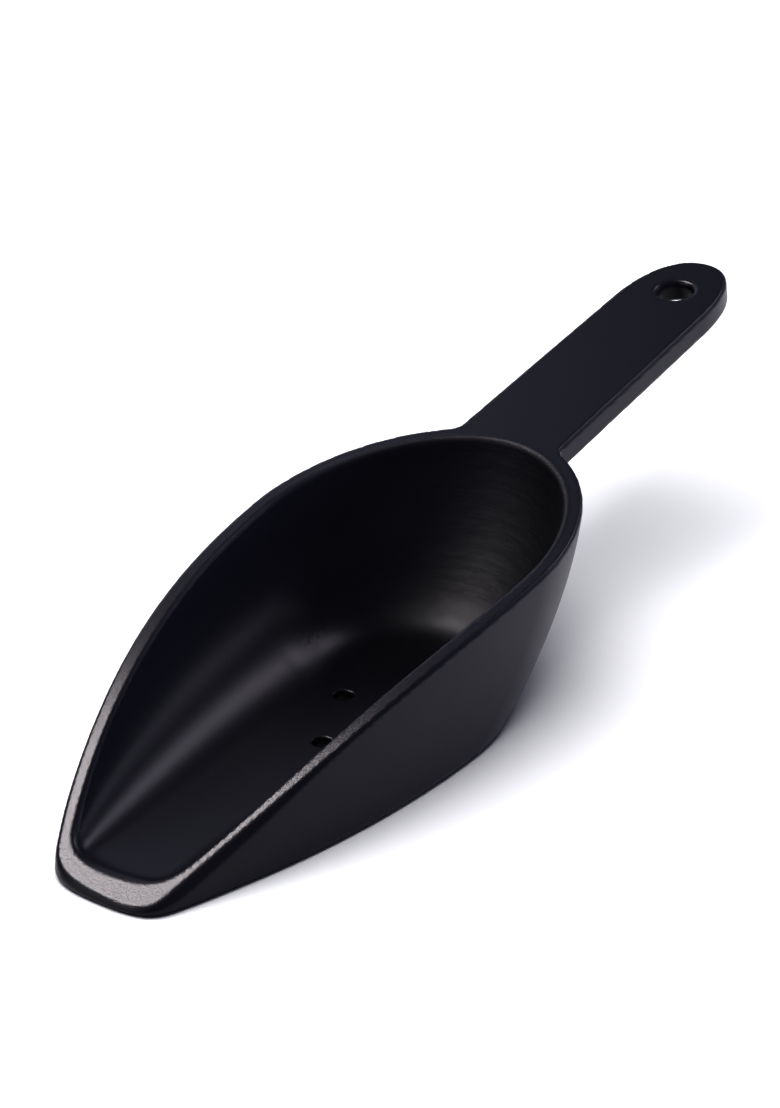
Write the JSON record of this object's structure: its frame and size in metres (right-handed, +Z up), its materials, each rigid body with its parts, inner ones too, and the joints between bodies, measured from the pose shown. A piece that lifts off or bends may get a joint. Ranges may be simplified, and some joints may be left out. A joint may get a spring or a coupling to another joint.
{
  "type": "hand scoop",
  "caption": "One-piece cast hand scoop: flat-based tapered bowl with a swept mouth and blunt lip, drained floor, and a flat bar handle with a hang hole.",
  "frame": {"origin": "middle of the bounding box in plan, on the plane that the flat base rests on", "axes": "+Z up, +X along the scoop from the lip towards the handle, +Y to the left when looking towards the handle"},
  "size_m": [0.251, 0.076, 0.0514],
  "materials": {
    "coated_metal": "satin-matt black coating over a cast surface"
  },
  "bodies": {
    "root": {"scoop": "coated_metal"}
  },
  "joints": []
}
